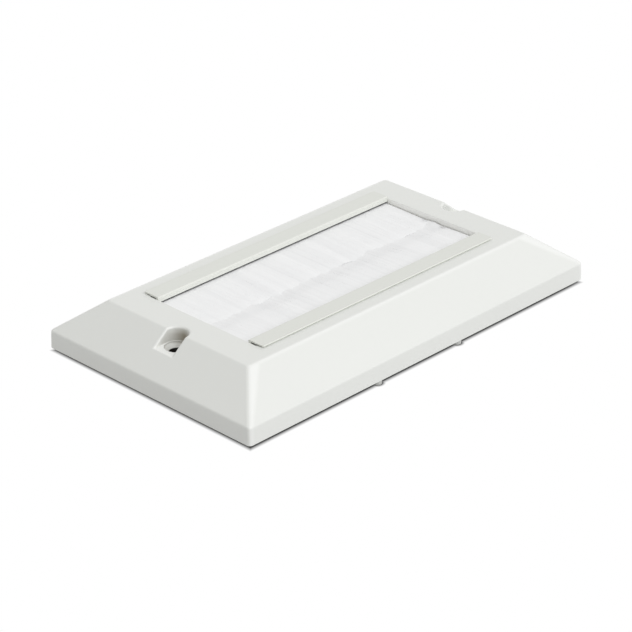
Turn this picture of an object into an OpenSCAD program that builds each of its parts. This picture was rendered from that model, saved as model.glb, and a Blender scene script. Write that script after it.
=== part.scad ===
// Wall plate with a cable window closed by two facing banks of bristles.
// The plate lies on its back: +Z points out of the wall, Y runs along the plate and X across it.
// The origin is under the middle of the plate, on the plane of the tips of its back pegs.

/* [Faceplate] */
// Width of the plate at its back edge
plate_w = 70; // [66:0.5:90]
// Length of the plate at its back edge
plate_l = 117; // [114:0.5:140]
// Height of the front face over the back edge
plate_h = 12.7; // [11.5:0.1:16]
// Height of the steep rim over the back edge
rim_h = 4.55; // [3:0.05:6]
// Draft angle of the rim
rim_draft = 2; // [0.5:0.5:4]
// Inset of the front face's long edges from the back edge
bevel_x = 10.6; // [8:0.1:12]
// Inset of the front face's short edges from the back edge
bevel_y = 10.2; // [8:0.1:12]
// Corner radius of the plate in plan, which also rounds its hips
corner_r = 1; // [0.6:0.1:3]
// Reach of the rounding along each side of a front edge
edge_reach = 0.45; // [0.2:0.05:0.8]
// Thickness of the moulded wall
wall = 2; // [1.5:0.1:2.4]

/* [Window] */
// Width of the window, between the long skirt walls
window_w = 37; // [34:0.5:40]
// Distance from the middle of each screw hole to the window's end
window_gap = 8.42; // [8.4:0.01:14]
// Rounding of the window's two bare edges
window_edge_r = 0.4; // [0.2:0.05:0.8]
// Thickness of the skirt that hangs round the window
skirt_t = 1.6; // [1.2:0.1:2]
// Depth of the skirt's lower edge below the front face
skirt_drop = 5.2; // [5:0.1:7]

/* [Screw pockets] */
// Distance from the middle of each screw hole to the plate's end
screw_inset = 10.08; // [9.6:0.01:11]
// Radius of the screw holes
screw_hole_r = 1.8; // [1.6:0.05:2.2]
// Radius of the countersink at the pocket floor
countersink_r = 3.1; // [2.6:0.05:3.3]
// Half the width of a pocket
pocket_r = 3.4; // [3.35:0.05:4]
// Depth of the pocket floor below the front face
pocket_depth = 3.7; // [3:0.1:4.5]
// Wall round a pocket
pocket_wall = 1.4; // [1:0.1:1.6]
// Thickness of the pocket floor
pocket_floor = 2.4; // [2:0.1:3]

/* [Back pegs and ribs] */
// Distance between the two pegs of one long side
peg_pitch = 28; // [20:0.5:60]
// Radius of a peg
peg_r = 1.25; // [0.8:0.05:1.6]
// How far a peg reaches into the wall that it stands against
peg_bite = 0.2; // [0.1:0.05:0.4]
// How far the pegs stand out behind the back edge
peg_h = 2.35; // [1:0.05:3]
// Thickness of the cross ribs
rib_t = 1.2; // [0.8:0.1:1.6]

/* [Brush holders] */
// Width of a holder as seen from the front
holder_w = 5; // [4.2:0.05:5.5]
// Overlap of a holder's flange on the plate's front face
flange_lap = 2.1; // [1.2:0.05:2.2]
// Thickness of the flange
flange_t = 0.6; // [0.5:0.05:1]
// Height of the hollow under the flange
flange_hollow = 0.3; // [0.1:0.05:0.35]
// Width of the lip along the flange's outer edge, which bears on the plate
lip_w = 0.3; // [0.2:0.05:0.6]
// Corner radius of the flange in plan
flange_corner_r = 0.5; // [0.2:0.1:1]
// Rounding of the holder's nose
nose_r = 0.35; // [0.3:0.05:0.6]
// Depth of the nose's lower edge below the front face
nose_drop = 0.8; // [0.5:0.05:1]
// Thickness of the holder's back web and lower jaw
holder_t = 0.7; // [0.5:0.05:0.8]
// Reach of the snap hook under the skirt
hook_reach = 0.9; // [0.6:0.05:1.2]
// Height of the snap hook
hook_h = 0.95; // [0.6:0.05:1.2]
// Clearance between a holder and the window's walls
holder_fit = 0.1; // [0.05:0.05:0.2]

/* [Brush inserts] */
// Height of the steel backing channel
channel_h = 3.2; // [2.8:0.05:3.6]
// Sheet thickness of the backing channel
channel_t = 0.4; // [0.3:0.05:0.5]
// Setback of the backing channel from the holder's mouth
channel_setback = 0.35; // [0.2:0.05:0.6]
// Clearance between the backing channel and its holder
channel_fit = 0.05; // [0.02:0.01:0.1]
// Radius of the core wire that the filaments are folded round
wire_r = 0.45; // [0.3:0.05:0.5]
// Thickness of the fold of filaments between the wire and the web
fold_t = 0.2; // [0.1:0.05:0.3]
// Clearance round the core wire
wire_fit = 0.01; // [0.005:0.005:0.02]
// How far each bank's tips pass the middle of the window
bank_overlap = 1.5; // [0.5:0.1:3]
// Distance from the middle at which a bank starts to thin towards its tips
bank_bend = 6; // [4:0.5:9]
// How far the banks sag towards the middle
bank_sag = 0.3; // [0.1:0.05:0.5]
// Thickness of a bank at its tips
bank_tip_t = 0.55; // [0.4:0.05:0.7]
// Clearance between the two banks, and between a bank and the window's ends
bank_fit = 0.1; // [0.05:0.05:0.2]

/* [Hidden] */
$fn = 48;

// Points along a quarter circle in plan, along the rounding of a front edge and along a nose
corner_steps = 6;
edge_steps = 4;
nose_steps = 6;
// Overrun of a cutting solid past the face it opens
over = 1;

// Slopes of the bevels, as rise over run, and the insets of the rim's top
rim_in = rim_h * tan(rim_draft);
rise_x = (plate_h - rim_h) / (bevel_x - rim_in);
rise_y = (plate_h - rim_h) / (bevel_y - rim_in);
// Each outline level is [inset in X, inset in Y, height over the back edge]
foot = [0, 0, 0];
rim_top = [rim_in, rim_in, rim_h];
front_edge = [bevel_x, bevel_y, plate_h];
front_face = [bevel_x + edge_reach, bevel_y + edge_reach, plate_h];

// Place of the far screw hole, and half sizes of the window and of the opening between the holders
screw_y = plate_l / 2 - screw_inset;
window_x = window_w / 2;
window_y = screw_y - window_gap;
flange_x = window_x + flange_lap;
mouth_x = flange_x - holder_w;
strip_y = window_y - holder_fit;

// Heights below the front face inside a holder, and places across it
back_x = window_x - holder_fit;
web_x = back_x - holder_t;
channel_top = nose_drop + channel_fit;
channel_bottom = channel_top + channel_h;
jaw_top = channel_bottom + channel_fit;
hook_top = skirt_drop + holder_fit;
channel_x = web_x - channel_fit;
channel_mouth_x = mouth_x + channel_setback;
gape_x = channel_x - channel_t;
gape_top = channel_top + channel_t;
gape_bottom = channel_bottom - channel_t;
wire_x = gape_x - fold_t - wire_r;
wire_drop = (gape_top + gape_bottom) / 2;

// Heights below the front face at which the two banks pass each other
tip_top = gape_top + 2 * bank_sag;
tip_bottom = tip_top + bank_tip_t;
under_top = tip_bottom + bank_fit;
under_bottom = under_top + bank_tip_t;

// Points between a and b, and along the curve that rounds the corner b of the path a, b, c
function mix(a, b, t) = a + (b - a) * t;
function towards(a, b, reach) = a + (b - a) * reach / norm(b - a);
function rounded(a, b, c) =
    let (p = towards(b, a, edge_reach), q = towards(b, c, edge_reach))
    [for (i = [0:edge_steps]) let (t = i / edge_steps) mix(mix(p, b, t), mix(b, q, t), t)];

// Outline of the plate at one level: a rectangle with round corners
function outline(level, r) =
    let (hx = plate_w / 2 - level[0] - r, hy = plate_l / 2 - level[1] - r)
    [for (c = [0:3], i = [0:corner_steps])
        let (a = 90 * (c + i / corner_steps),
             sx = (c == 0 || c == 3) ? 1 : -1,
             sy = c < 2 ? 1 : -1)
        [sx * hx + r * cos(a), sy * hy + r * sin(a), level[2]]];

// Inset of the wall's inner face at a height, where it follows a bevel
function inner_inset(z, rise) = rim_in + (z - rim_h + wall * sqrt(1 + rise * rise)) / rise;

// Solid whose outline follows the levels from the lowest to the highest
module lofted(levels, r) {
    rings = [for (level = levels) outline(level, r)];
    n = len(rings[0]);
    m = len(rings);
    polyhedron(
        points = [for (ring = rings, p = ring) p],
        faces = concat(
            [[for (i = [0:n - 1]) i]],
            [[for (i = [n - 1:-1:0]) (m - 1) * n + i]],
            [for (k = [0:m - 2], i = [0:n - 1])
                let (j = (i + 1) % n) [k * n + i, (k + 1) * n + i, (k + 1) * n + j, k * n + j]]),
        convexity = 2);
}

// Box given by its lowest and highest corners
module span(low, high) {
    translate(low) cube(high - low);
}

// Box that is centred on the origin in plan
module centred(w, l, z0, z1) {
    span([-w / 2, -l / 2, z0], [w / 2, l / 2, z1]);
}

// Outer form of the plate: rim, four bevels and front face
module plate_block() {
    lofted(concat(
        [foot],
        rounded(foot, rim_top, front_edge),
        rounded(rim_top, front_edge, front_face)), corner_r);
}

// Hollow behind the front, one wall thickness inside the outer form
module plate_hollow() {
    slope_start = rim_h + wall * rise_x - wall * sqrt(1 + rise_x * rise_x);
    ceiling = plate_h - wall;
    lofted([
        [wall, wall, -over],
        [wall, wall, 0],
        [inner_inset(slope_start, rise_x), inner_inset(slope_start, rise_y), slope_start],
        [inner_inset(ceiling, rise_x), inner_inset(ceiling, rise_y), ceiling]], corner_r / 2);
}

// Upright wall all round the window, behind the front face
module skirt() {
    centred(window_w + 2 * skirt_t, 2 * (window_y + skirt_t), plate_h - skirt_drop, plate_h - wall / 2);
}

// Ribs from the skirt to the long rims, one at each peg
module ribs() {
    for (side = [-1, 1], end = [-1, 1])
        translate([side * plate_w / 4, end * peg_pitch / 2, 0])
            centred(plate_w / 2, rib_t, plate_h - skirt_drop, plate_h - wall / 2);
}

// Round pegs that stand out behind the back edge, against the inside of the long rims
module pegs() {
    for (side = [-1, 1], end = [-1, 1])
        translate([side * (plate_w / 2 - wall - peg_r + peg_bite), end * peg_pitch / 2, -peg_h])
            cylinder(r = peg_r, h = peg_h + plate_h);
}

// Slot form of a screw pocket, open over the short bevel: r is its half width
module pocket_form(r, z0, z1) {
    translate([0, screw_y, z0]) {
        cylinder(r = r, h = z1 - z0);
        translate([-r, 0, 0]) cube([2 * r, plate_l / 2, z1 - z0]);
    }
}

// Everything behind the front that the outer form still encloses
module plate_inside() {
    skirt();
    ribs();
    for (end = [0, 1]) mirror([0, end, 0])
        pocket_form(pocket_r + pocket_wall, plate_h - pocket_depth - pocket_floor, plate_h);
}

// Screw pocket with its countersunk hole, as removed from the plate
module pocket_cut() {
    floor_z = plate_h - pocket_depth;
    sink = countersink_r - screw_hole_r;
    pocket_form(pocket_r, floor_z, plate_h + over);
    translate([0, screw_y, floor_z - sink])
        cylinder(r1 = screw_hole_r, r2 = countersink_r, h = sink);
    translate([0, screw_y, -over]) cylinder(r = screw_hole_r, h = plate_h);
}

// Rounding of one bare edge of the window, as removed from the plate
module window_edge_cut() {
    r = window_edge_r;
    translate([-window_x, window_y, plate_h]) rotate([90, 0, 90]) linear_extrude(window_w)
        difference() {
            translate([-over, -r]) square([r + over, r + over]);
            translate([r, -r]) circle(r = r);
            translate([-2 * over, -r - over]) square([2 * over, r + 2 * over]);
        }
}

// One moulding: front, rim, skirt, ribs, screw pockets and pegs
module faceplate() {
    color("whitesmoke") translate([0, 0, peg_h]) difference() {
        union() {
            difference() {
                plate_block();
                plate_hollow();
            }
            intersection() {
                plate_block();
                plate_inside();
            }
            intersection() {
                centred(plate_w, plate_l, -peg_h, 0);
                pegs();
            }
            intersection() {
                plate_block();
                pegs();
            }
        }
        centred(window_w, 2 * window_y, -over, plate_h + over);
        for (end = [0, 1]) mirror([0, end, 0]) {
            pocket_cut();
            window_edge_cut();
        }
    }
}

// Section drawn with X across and the height over the front face, run along the window
module strip(half_l) {
    translate([0, half_l, peg_h + plate_h]) rotate([90, 0, 0]) linear_extrude(2 * half_l) children();
}

// Rectangle of a section, from one corner to the other
module patch(low, high) {
    translate(low) square(high - low);
}

// Section of a holder: nose and flange, back web with its snap hook, and lower jaw
module holder_section() {
    polygon(concat(
        [[mouth_x, -nose_drop]],
        [for (i = [0:nose_steps]) let (a = 90 * i / nose_steps)
            [mouth_x + nose_r - nose_r * cos(a), flange_t - nose_r + nose_r * sin(a)]],
        [[flange_x, flange_t],
         [flange_x, 0],
         [flange_x - lip_w, 0],
         [flange_x - lip_w, flange_hollow],
         [back_x, flange_hollow],
         [back_x, -hook_top],
         [back_x + hook_reach, -hook_top],
         [back_x, -hook_top - hook_h],
         [web_x, -hook_top - hook_h],
         [web_x, -jaw_top - holder_t],
         [mouth_x, -jaw_top - holder_t],
         [mouth_x, -jaw_top],
         [web_x, -jaw_top],
         [web_x, -nose_drop]]));
}

// Plan of a holder, whose flange has round outer corners
module holder_plan() {
    r = flange_corner_r;
    union() {
        patch([0, -strip_y], [flange_x - r, strip_y]);
        patch([0, r - strip_y], [flange_x, strip_y - r]);
        for (end = [-1, 1]) translate([flange_x - r, end * (strip_y - r)]) circle(r = r);
    }
}

// Holder on the +X side of the window
module holder() {
    intersection() {
        strip(strip_y) holder_section();
        linear_extrude(peg_h + plate_h + flange_t) holder_plan();
    }
}

// Folded steel channel that grips the filaments, on the +X side
module backing() {
    strip(strip_y) difference() {
        patch([channel_mouth_x, -channel_bottom], [channel_x, -channel_top]);
        patch([mouth_x, -gape_bottom], [gape_x, -gape_top]);
    }
}

// Core wire on the +X side
module wire() {
    strip(strip_y) translate([wire_x, -wire_drop]) circle(r = wire_r);
}

// Body of one bank on the +X side, from the backing channel to the tips
module bank(profile) {
    strip(strip_y - bank_fit) difference() {
        polygon(concat([[gape_x, -gape_bottom], [gape_x, -gape_top], [mouth_x, -gape_top]], profile));
        translate([wire_x, -wire_drop]) circle(r = wire_r + wire_fit);
    }
}

// The bank whose tips lie on top
module upper_bank() {
    bank([
        [bank_bend, -gape_top - bank_sag],
        [-bank_overlap, -tip_top],
        [-bank_overlap, -tip_bottom],
        [bank_overlap, -tip_bottom],
        [bank_bend, -gape_bottom],
        [mouth_x, -gape_bottom]]);
}

// The bank whose tips lie underneath
module lower_bank() {
    bank([
        [bank_bend, -gape_top - bank_sag],
        [bank_overlap + bank_fit, -under_top],
        [-bank_overlap, -under_top],
        [-bank_overlap, -under_bottom],
        [bank_bend, -gape_bottom - bank_sag],
        [mouth_x, -gape_bottom]]);
}

module holder_right() { color("ivory") holder(); }
module holder_left() { color("ivory") mirror([1, 0, 0]) holder(); }
module backing_right() { color("silver") backing(); }
module backing_left() { color("silver") mirror([1, 0, 0]) backing(); }
module wire_right() { color("gray") wire(); }
module wire_left() { color("gray") mirror([1, 0, 0]) wire(); }
module bristles_right() { color("white") lower_bank(); }
module bristles_left() { color("white") mirror([1, 0, 0]) upper_bank(); }

faceplate();
holder_left();
holder_right();
backing_left();
backing_right();
wire_left();
wire_right();
bristles_left();
bristles_right();
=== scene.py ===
"""Looks of an oblong wall plate whose cable window is closed by two facing banks of bristles.

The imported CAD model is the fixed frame. Every size here is in millimetres in that frame: +Z out of the
wall, +Y along the plate, X across it, and z = 0 on the plane of the tips of the four back pegs.
"""

import logging
import math
from dataclasses import dataclass
from enum import Enum
from typing import Any, Dict, List, NamedTuple, Optional, Sequence, Tuple, Union

import bpy
import numpy as np
from mathutils import Matrix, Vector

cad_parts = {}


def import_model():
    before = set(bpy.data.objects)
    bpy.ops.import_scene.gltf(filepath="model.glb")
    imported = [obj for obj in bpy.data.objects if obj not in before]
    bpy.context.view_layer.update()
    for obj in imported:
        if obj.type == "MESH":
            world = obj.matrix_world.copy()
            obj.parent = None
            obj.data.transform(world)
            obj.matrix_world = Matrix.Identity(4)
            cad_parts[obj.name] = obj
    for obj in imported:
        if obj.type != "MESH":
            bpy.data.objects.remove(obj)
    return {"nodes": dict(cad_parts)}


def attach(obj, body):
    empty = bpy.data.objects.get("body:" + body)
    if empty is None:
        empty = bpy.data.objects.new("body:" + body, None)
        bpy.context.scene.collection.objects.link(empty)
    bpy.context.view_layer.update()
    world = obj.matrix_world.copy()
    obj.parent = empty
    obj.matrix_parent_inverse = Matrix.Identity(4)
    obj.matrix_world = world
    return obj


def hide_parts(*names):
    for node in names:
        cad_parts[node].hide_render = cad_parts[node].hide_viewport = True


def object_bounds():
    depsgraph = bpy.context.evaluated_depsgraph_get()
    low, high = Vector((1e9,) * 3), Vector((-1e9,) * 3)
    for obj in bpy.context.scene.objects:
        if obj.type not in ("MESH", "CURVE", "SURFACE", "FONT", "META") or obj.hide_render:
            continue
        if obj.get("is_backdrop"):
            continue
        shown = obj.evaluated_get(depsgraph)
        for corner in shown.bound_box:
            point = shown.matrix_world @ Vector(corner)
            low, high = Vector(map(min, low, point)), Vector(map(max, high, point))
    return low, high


LOG = logging.getLogger("brush_plate")

MM = 0.001
BODY = "root"
TONE = "tone"

Colour = Tuple[float, float, float]
Number = Union["Term", float]


class Side(Enum):
    """Which long side of the window a holder or a bank of bristles stands on."""

    LEFT = -1
    RIGHT = 1

    @property
    def word(self) -> str:
        """The side's name as the CAD nodes spell it."""
        return self.name.lower()


# Meshes


@dataclass(frozen=True)
class Skin:
    """A surface in millimetres: points, quads by point number, and caps with any number of corners."""

    points: np.ndarray
    quads: np.ndarray
    caps: List[List[int]]

    def turned(self) -> "Skin":
        """The same surface with its faces turned over."""
        return Skin(self.points, self.quads[:, ::-1], [cap[::-1] for cap in self.caps])

    def mirrored(self, axis: int) -> "Skin":
        """The surface mirrored across an axis, with its faces turned so that they still point outwards.

        Args:
            axis: 0 for x, 1 for y.

        Returns:
            The mirrored surface.
        """
        flipped = self.points.copy()
        flipped[:, axis] *= -1.0
        return Skin(flipped, self.quads, self.caps).turned()

    def raised(self, rise: float) -> "Skin":
        """The surface moved up."""
        return Skin(self.points + [0.0, 0.0, rise], self.quads, self.caps)

    def build(self, name: str) -> bpy.types.Object:
        """Puts the surface into a new mesh object at the origin.

        Args:
            name: The object's name.

        Returns:
            The linked object.
        """
        mesh = bpy.data.meshes.new(name)
        mesh.from_pydata((self.points * MM).tolist(), [], self.quads.tolist() + self.caps)
        mesh.update()
        made = bpy.data.objects.new(name, mesh)
        bpy.context.scene.collection.objects.link(made)
        return made


def grid_quads(rows: int, columns: int, wrap_rows: bool = False) -> np.ndarray:
    """Quads of a grid of points that closes on itself along its columns.

    Point (i, j) has the number i * columns + j. Each quad joins (i, j), (i, j+1), (i+1, j+1), (i+1, j).

    Args:
        rows: Number of rows.
        columns: Number of points in a row.
        wrap_rows: Whether the last row joins the first one.

    Returns:
        The quads, one row each.
    """
    i = np.arange(rows if wrap_rows else rows - 1)[:, None]
    j = np.arange(columns)[None, :]
    below, beside = (i + 1) % rows, (j + 1) % columns
    corners = (i * columns + j, i * columns + beside, below * columns + beside, below * columns + j)
    return np.stack(np.broadcast_arrays(*corners), axis=-1).reshape(-1, 4)


def prism(rings: Sequence[np.ndarray]) -> Skin:
    """Closed skin through a stack of rings, with flat caps on the first and the last.

    Rings that run anticlockwise seen from above and are stacked upwards give outward faces.

    Args:
        rings: Arrays of points x 3, all with as many points.

    Returns:
        The skin.
    """
    stack = np.stack(rings)
    count, around = stack.shape[:2]
    low = list(range(around - 1, -1, -1))
    high = list(range((count - 1) * around, count * around))
    return Skin(stack.reshape(-1, 3), grid_quads(count, around), [low, high])


def joined(parts: Sequence[Skin]) -> Skin:
    """Several skins as one, with the later ones' point numbers moved past the earlier ones' points.

    Args:
        parts: The skins.

    Returns:
        One skin with all their points and faces.
    """
    starts = np.cumsum([0] + [len(part.points) for part in parts])
    caps = [[k + int(start) for k in cap] for part, start in zip(parts, starts) for cap in part.caps]
    return Skin(np.concatenate([part.points for part in parts]),
                np.concatenate([part.quads + start for part, start in zip(parts, starts)]), caps)


def at_height(plan: np.ndarray, z: Union[float, np.ndarray]) -> np.ndarray:
    """A plan's points (x, y) as a ring (x, y, z), at one height or at each point's own."""
    return np.column_stack([plan[:, :2], np.broadcast_to(z, len(plan))])


def quarter_turn(steps: int) -> np.ndarray:
    """Angles from 0 to a right angle in equal steps."""
    return np.linspace(0.0, math.pi / 2, steps + 1)


def circle(radius: float, middle: Tuple[float, float], count: int) -> np.ndarray:
    """Plan of a circle, anticlockwise: the middle plus the radius times (cos t, sin t).

    Args:
        radius: Its radius.
        middle: Its middle.
        count: Number of points.

    Returns:
        The points, one row each.
    """
    turn = np.linspace(0.0, 2 * math.pi, count, endpoint=False)
    return np.column_stack([middle[0] + radius * np.cos(turn), middle[1] + radius * np.sin(turn)])


def block(low: Sequence[float], high: Sequence[float]) -> Skin:
    """Skin of the box between its low corner and its high corner."""
    (x0, y0, z0), (x1, y1, z1) = low, high
    plan = np.array([[x0, y0], [x1, y0], [x1, y1], [x0, y1]])
    return prism([at_height(plan, z) for z in (z0, z1)])


def carve(target: bpy.types.Object, tool: bpy.types.Object, operation: str) -> None:
    """Adds or removes a closed tool from a closed mesh for good, and deletes the tool.

    Args:
        target: The mesh that changes.
        tool: The closed mesh that is added or removed.
        operation: UNION or DIFFERENCE.
    """
    change = target.modifiers.new("carve", "BOOLEAN")
    change.solver = "EXACT"
    change.operation = operation
    change.object = tool
    graph = bpy.context.evaluated_depsgraph_get()
    before = target.data
    target.data = bpy.data.meshes.new_from_object(target.evaluated_get(graph))
    target.data.name = target.name
    target.modifiers.clear()
    bpy.data.meshes.remove(before)
    bpy.data.objects.remove(tool)


def shade(made: bpy.types.Object, sharp_degrees: float) -> None:
    """Smooth shading up to an angle, with large flat faces kept flat by weighted normals.

    Args:
        made: The object.
        sharp_degrees: Angle past which an edge stays sharp.
    """
    made.data.shade_smooth()
    made.data.set_sharp_from_angle(angle=math.radians(sharp_degrees))
    weighting = made.modifiers.new("weighting", "WEIGHTED_NORMAL")
    weighting.keep_sharp = True


def paint(made: bpy.types.Object, material: bpy.types.Material) -> None:
    """Makes a material the only one of a mesh."""
    made.data.materials.clear()
    made.data.materials.append(material)


def finish_piece(made: bpy.types.Object, material: bpy.types.Material,
                 stands_for: Sequence[str] = ()) -> None:
    """Gives a new piece its material, its body and the CAD nodes that it stands for.

    Args:
        made: The piece.
        material: Its material.
        stands_for: Names of the CAD nodes that it replaces.
    """
    paint(made, material)
    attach(made, BODY)
    if stands_for:
        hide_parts(*stands_for)
    made.data.calc_loop_triangles()
    LOG.info("%s: %d triangles", made.name, len(made.data.loop_triangles))


# Shaders


class Term:
    """A number socket that takes part in Python arithmetic by adding Math nodes."""

    def __init__(self, tree: bpy.types.NodeTree, socket: bpy.types.NodeSocket) -> None:
        """Wraps a socket of a node tree."""
        self.tree = tree
        self.socket = socket

    def math(self, operation: str, *values: Number) -> "Term":
        """Adds one Math node.

        Args:
            operation: The node's operation.
            values: Its inputs in order, wrapped sockets or numbers.

        Returns:
            The node's output.
        """
        node = self.tree.nodes.new("ShaderNodeMath")
        node.operation = operation
        for place, value in zip(node.inputs, values):
            if isinstance(value, Term):
                self.tree.links.new(value.socket, place)
            else:
                place.default_value = value
        return Term(self.tree, node.outputs[0])

    def __add__(self, other: Number) -> "Term":
        """This plus the other."""
        return self.math("ADD", self, other)

    def __sub__(self, other: Number) -> "Term":
        """This minus the other."""
        return self.math("SUBTRACT", self, other)

    def __rsub__(self, other: float) -> "Term":
        """The other minus this."""
        return self.math("SUBTRACT", other, self)

    def __mul__(self, other: Number) -> "Term":
        """This times the other."""
        return self.math("MULTIPLY", self, other)

    def __truediv__(self, other: Number) -> "Term":
        """This over the other."""
        return self.math("DIVIDE", self, other)

    def __abs__(self) -> "Term":
        """The size of this without its sign."""
        return self.math("ABSOLUTE", self)

    def root(self) -> "Term":
        """The square root of this."""
        return self.math("SQRT", self)

    def at_least(self, other: Number) -> "Term":
        """The larger of this and the other."""
        return self.math("MAXIMUM", self, other)

    def at_most(self, other: Number) -> "Term":
        """The smaller of this and the other."""
        return self.math("MINIMUM", self, other)

    def clamped(self) -> "Term":
        """This held between 0 and 1."""
        return self.at_least(0.0).at_most(1.0)

    def rising(self, start: Number, over: float) -> "Term":
        """0 up to the start and 1 from a width past it on: (this - start) / over, clamped."""
        return ((self - start) / over).clamped()

    def falling(self, end: Number, over: float) -> "Term":
        """1 up to a width before the end and 0 from the end on: (end - this) / over, clamped."""
        return ((end - self) / over).clamped()

    def about(self, middle: float, span: float) -> "Term":
        """0 to 1 spread over a span about a middle: this * span + middle - span / 2."""
        return self * span + (middle - span / 2)

    __radd__ = __add__
    __rmul__ = __mul__


class Graph:
    """The node tree of one material or of the world."""

    # A Mix node's colour sockets share their names with its number ones, so they go by number.
    MIX_A, MIX_B, MIX_OUT = 6, 7, 2

    def __init__(self, tree: bpy.types.NodeTree) -> None:
        """Starts from an empty tree."""
        self.tree = tree
        self.tree.nodes.clear()

    @classmethod
    def of_material(cls, name: str) -> Tuple[bpy.types.Material, "Graph"]:
        """A new material and its empty graph."""
        material = bpy.data.materials.new(name)
        material.use_nodes = True
        return material, cls(material.node_tree)

    def add(self, kind: str, settings: Optional[Dict[str, Any]] = None,
            values: Optional[Dict[Any, Any]] = None) -> bpy.types.Node:
        """Adds any node.

        Args:
            kind: The node's type, without the ShaderNode that all begin with.
            settings: Its own settings, which are set first.
            values: What goes into its sockets, by name or number: sockets, terms or plain values.

        Returns:
            The node.
        """
        node = self.tree.nodes.new("ShaderNode" + kind)
        for key, value in (settings or {}).items():
            setattr(node, key, value)
        for key, value in (values or {}).items():
            place = node.inputs[key]
            if isinstance(value, Term):
                value = value.socket
            if isinstance(value, bpy.types.NodeSocket):
                self.tree.links.new(value, place)
            else:
                place.default_value = value
        return node

    def term(self, node: bpy.types.Node, output: Union[int, str] = 0) -> Term:
        """One of a node's outputs, ready for arithmetic."""
        return Term(self.tree, node.outputs[output])

    def place(self, scale: Sequence[float] = (1.0, 1.0, 1.0)) -> bpy.types.NodeSocket:
        """Object coordinates in metres, stretched by a scale along each axis."""
        where = self.add("TexCoord").outputs["Object"]
        return self.add("Mapping", None, {"Vector": where, "Scale": scale}).outputs[0]

    def coordinates(self) -> Tuple[Term, Term, Term]:
        """Object coordinates x, y and z in millimetres."""
        parts = self.add("SeparateXYZ", None, {"Vector": self.place()})
        return self.term(parts, "X") / MM, self.term(parts, "Y") / MM, self.term(parts, "Z") / MM

    def noise(self, per_m: float, detail: float = 2.0,
              scale: Sequence[float] = (1.0, 1.0, 1.0)) -> Term:
        """Fractal noise from 0 to 1 on Object coordinates.

        Args:
            per_m: How many blotches lie along a metre.
            detail: Octaves of finer noise.
            scale: Stretch of the coordinates. A scale under 1 draws the blotches out along that axis.

        Returns:
            The noise.
        """
        where = self.place(scale)
        return self.term(self.add("TexNoise", None, {"Vector": where, "Scale": per_m, "Detail": detail}))

    def blend(self, base: Union[Colour, bpy.types.NodeSocket], other: Colour,
              share: Term) -> bpy.types.NodeSocket:
        """A colour that goes over from the base to the other as the share goes from 0 to 1.

        Args:
            base: A plain colour or a colour socket.
            other: The other colour.
            share: How much of the other there is.

        Returns:
            The blended colour.
        """
        start = (*base, 1.0) if isinstance(base, tuple) else base
        mix = self.add("Mix", {"data_type": "RGBA"}, {
            "Factor": share, self.MIX_A: start, self.MIX_B: (*other, 1.0)})
        return mix.outputs[self.MIX_OUT]

    def relief(self, height: Term, distance_mm: float) -> bpy.types.NodeSocket:
        """A normal bent by a height from 0 to 1 that stands for a distance in millimetres."""
        bump = self.add("Bump", None, {"Height": height, "Distance": distance_mm * MM, "Strength": 1.0})
        return bump.outputs[0]

    def surface(self, values: Dict[Any, Any]) -> None:
        """Ends the tree in a Principled shader with these inputs."""
        shader = self.add("BsdfPrincipled", None, values)
        self.add("OutputMaterial", None, {"Surface": shader.outputs[0]})


@dataclass(frozen=True)
class Window:
    """The cable window in the front: half its width and half its length."""

    half_w: float
    half_l: float


@dataclass(frozen=True)
class PlateForm:
    """Sizes of the moulding that its finish follows."""

    front: float
    half_w: float
    half_l: float
    bevel_x: float
    bevel_y: float
    rise_y: float
    screw_y: float
    pocket_r: float
    pocket_depth: float
    hole_r: float
    sink_r: float
    window: Window

    def depth(self, along: Term, z: Term) -> Term:
        """Depth under the front, which falls towards the plate's ends along the short bevels."""
        fall = (along - (self.half_l - self.bevel_y)).at_least(0.0) * self.rise_y
        return (self.front - z) - fall

    def off_hole(self, x: Term, along: Term) -> Term:
        """Distance from a screw hole's axis: the root of the sum of the squares of its two parts."""
        off = along - self.screw_y
        return (x * x + off * off).root()


@dataclass(frozen=True)
class PaintedHighlight:
    """Where highlights are painted on the moulding: its front's long edges and the long bevels at each hip.

    A hip is the line where a long bevel meets a short one. A value whose name ends in soft is the width
    over which the painted highlight comes in or goes out.
    """

    form: PlateForm
    edge: float = 0.7
    hip: float = 1.8
    hip_slant: float = 2.4
    hip_soft: float = 1.4
    hip_line_soft: float = 0.3
    hip_share: float = 0.9
    wall_soft: float = 0.1
    wall_past: float = 0.05

    def edges(self, across: Term, along: Term) -> Term:
        """Share of painted highlight on the front's long edges and beside the hips.

        A hip is where the insets from the sides, each over its bevel's width, are alike. The band is
        measured from the hip along the plate, and it is wider towards the front.

        Args:
            across: Distance from the middle across the plate.
            along: Distance from the middle along the plate.

        Returns:
            The share, from 0 to 1.
        """
        form = self.form
        inset_x = (form.half_w - across) / form.bevel_x
        inset_y = (form.half_l - along) / form.bevel_y
        reach = self.edge / form.bevel_x
        on_edge = abs(inset_x - 1.0).falling(reach, reach) * inset_y.rising(1.0 - reach / 2, reach)
        off_hip = (inset_y - inset_x) * form.bevel_y
        width = inset_x * self.hip_slant + self.hip
        line = off_hip.rising(-self.hip_line_soft / 2, self.hip_line_soft)
        on_bevel = inset_x.falling(1.0 + reach / 2, reach)
        return on_edge.at_least(off_hip.falling(width, self.hip_soft) * line * on_bevel * self.hip_share)

    def window_wall(self, across: Term, along: Term, z: Term) -> Term:
        """Share of painted light on the window's end walls.

        Args:
            across: Distance from the middle across the plate.
            along: Distance from the middle along the plate.
            z: Height.

        Returns:
            1 on the walls, and 0 a little outside them.
        """
        window = self.form.window
        on_wall = along.falling(window.half_l + self.wall_soft, self.wall_soft)
        below = z.falling(self.form.front - self.wall_past, self.wall_soft)
        return on_wall * below * across.falling(window.half_w + self.wall_past, self.wall_past)


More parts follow.
